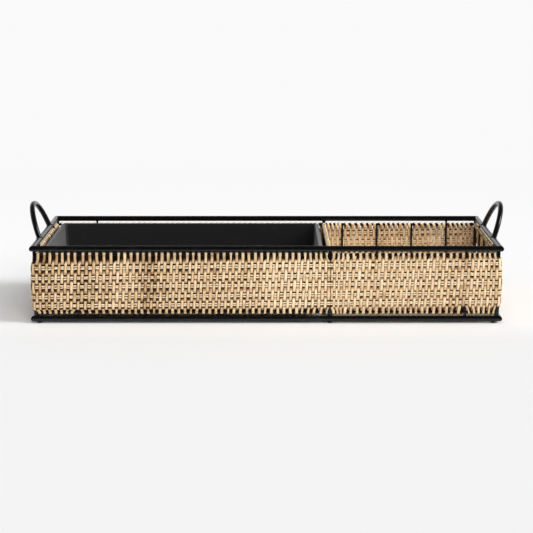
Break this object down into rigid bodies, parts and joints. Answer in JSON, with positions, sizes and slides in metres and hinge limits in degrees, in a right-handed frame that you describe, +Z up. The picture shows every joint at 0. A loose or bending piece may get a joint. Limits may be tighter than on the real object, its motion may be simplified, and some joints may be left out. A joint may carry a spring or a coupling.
{
  "type": "wicker drink station",
  "caption": "Long low drink tray of black iron rod with woven cane walls, a lift-out metal tub for ice and an open bay for glasses, with a rod loop handle at each end.",
  "frame": {"origin": "on the ground under the middle of the frame, at the underside of the feet", "axes": "+X along the front towards the open glass bay, +Y from front to back, +Z up"},
  "size_m": [0.8584, 0.33, 0.1896],
  "materials": {
    "black_iron": "satin black powder coat",
    "natural_cane": "natural woven cane, matte",
    "tub_metal": "matte black coated sheet metal",
    "foot_rubber": "matte"
  },
  "bodies": {
    "frame": {"rim_front_rail": "black_iron", "rim_back_rail": "black_iron", "rim_left_rail": "black_iron", "rim_right_rail": "black_iron", "base_front_rail": "black_iron", "base_back_rail": "black_iron", "base_left_rail": "black_iron", "base_right_rail": "black_iron", "front_left_corner_post": "black_iron", "front_right_corner_post": "black_iron", "front_divider_post": "black_iron", "back_left_corner_post": "black_iron", "back_right_corner_post": "black_iron", "back_divider_post": "black_iron", "front_tub_bay_grid": "black_iron", "front_open_bay_grid": "black_iron", "back_tub_bay_grid": "black_iron", "back_open_bay_grid": "black_iron", "left_grid": "black_iron", "right_grid": "black_iron", "divider_grid": "black_iron", "left_handle": "black_iron", "right_handle": "black_iron", "tub_floor_bar_1": "black_iron", "tub_floor_bar_2": "black_iron", "tub_floor_bar_3": "black_iron", "tub_floor_bar_4": "black_iron", "open_floor_bar_1": "black_iron", "open_floor_bar_2": "black_iron", "divider_floor_bar": "black_iron", "front_tub_bay_weave": "natural_cane", "front_open_bay_weave": "natural_cane", "back_tub_bay_weave": "natural_cane", "back_open_bay_weave": "natural_cane", "left_weave": "natural_cane", "right_weave": "natural_cane", "divider_weave": "natural_cane", "tub_bay_floor": "natural_cane", "open_bay_floor": "natural_cane", "front_left_foot": "foot_rubber", "front_divider_foot": "foot_rubber", "front_right_foot": "foot_rubber", "back_left_foot": "foot_rubber", "back_divider_foot": "foot_rubber", "back_right_foot": "foot_rubber"},
    "tub": {"lift_out_tub": "tub_metal"}
  },
  "joints": [
    {"name": "tub_lift", "type": "slide", "parent": "frame", "child": "tub", "axis": [0, 0, 1], "range_m": [0, 0.13]}
  ]
}
